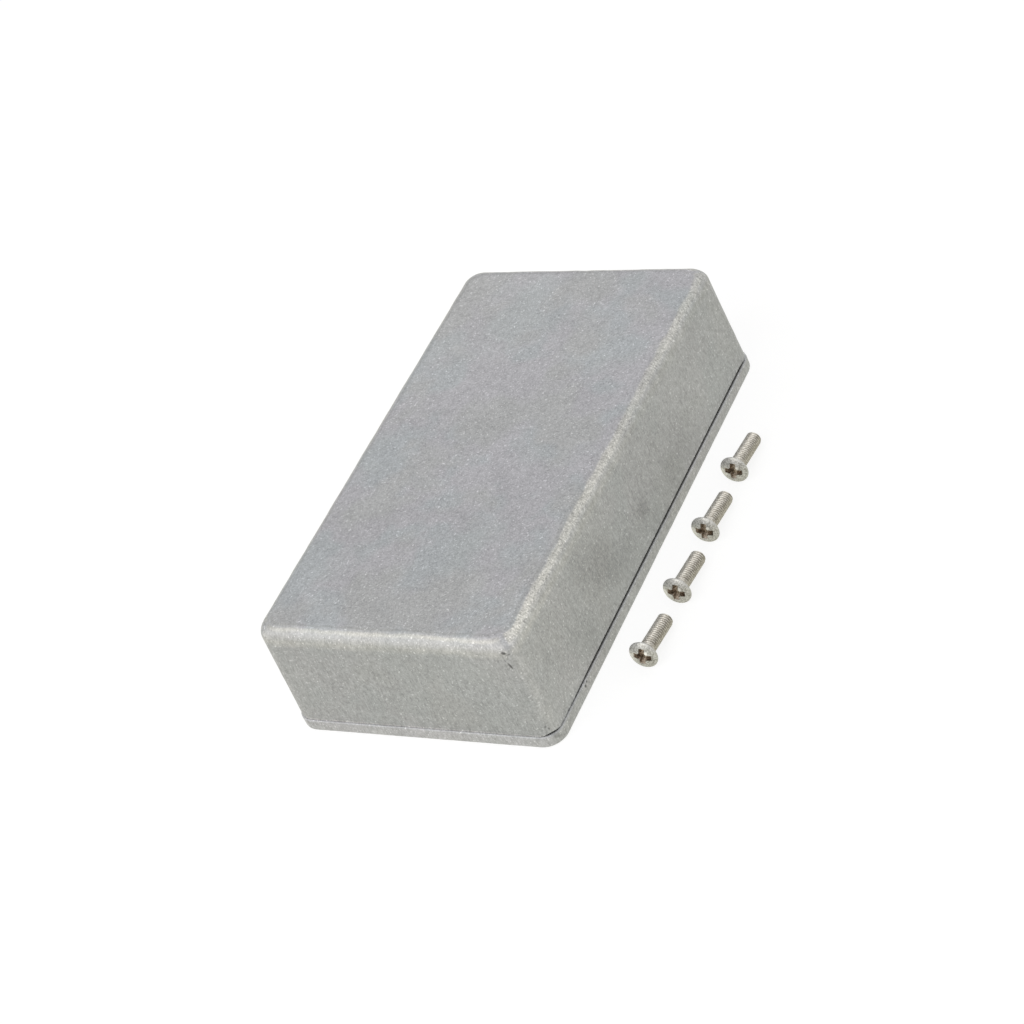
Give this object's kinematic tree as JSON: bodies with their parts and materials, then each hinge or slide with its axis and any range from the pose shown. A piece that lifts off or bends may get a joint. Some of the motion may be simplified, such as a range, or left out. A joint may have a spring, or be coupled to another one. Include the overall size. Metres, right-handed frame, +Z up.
{
  "type": "electronics enclosure",
  "caption": "Rectangular die-cast aluminium box with drafted walls and rounded edges, standing on its flat screw-on lid, with the countersunk lid screws laid beside it.",
  "frame": {"origin": "centre of the lid's outer face, on the surface that the box stands on", "axes": "+X across the box towards the loose screws, +Y along the box, +Z up through the closed face of the shell"},
  "size_m": [0.0791, 0.118, 0.03],
  "materials": {
    "cast_shell": "raw die casting, tumbled to an even satin with brighter rubbed edges",
    "cast_lid": "raw die casting, tumbled to an even satin with brighter rubbed edges",
    "plated_screw": "bright nickel plate over steel"
  },
  "bodies": {
    "root": {"box_shell": "cast_shell", "lid": "cast_lid", "lid_screws": "plated_screw"}
  },
  "joints": []
}
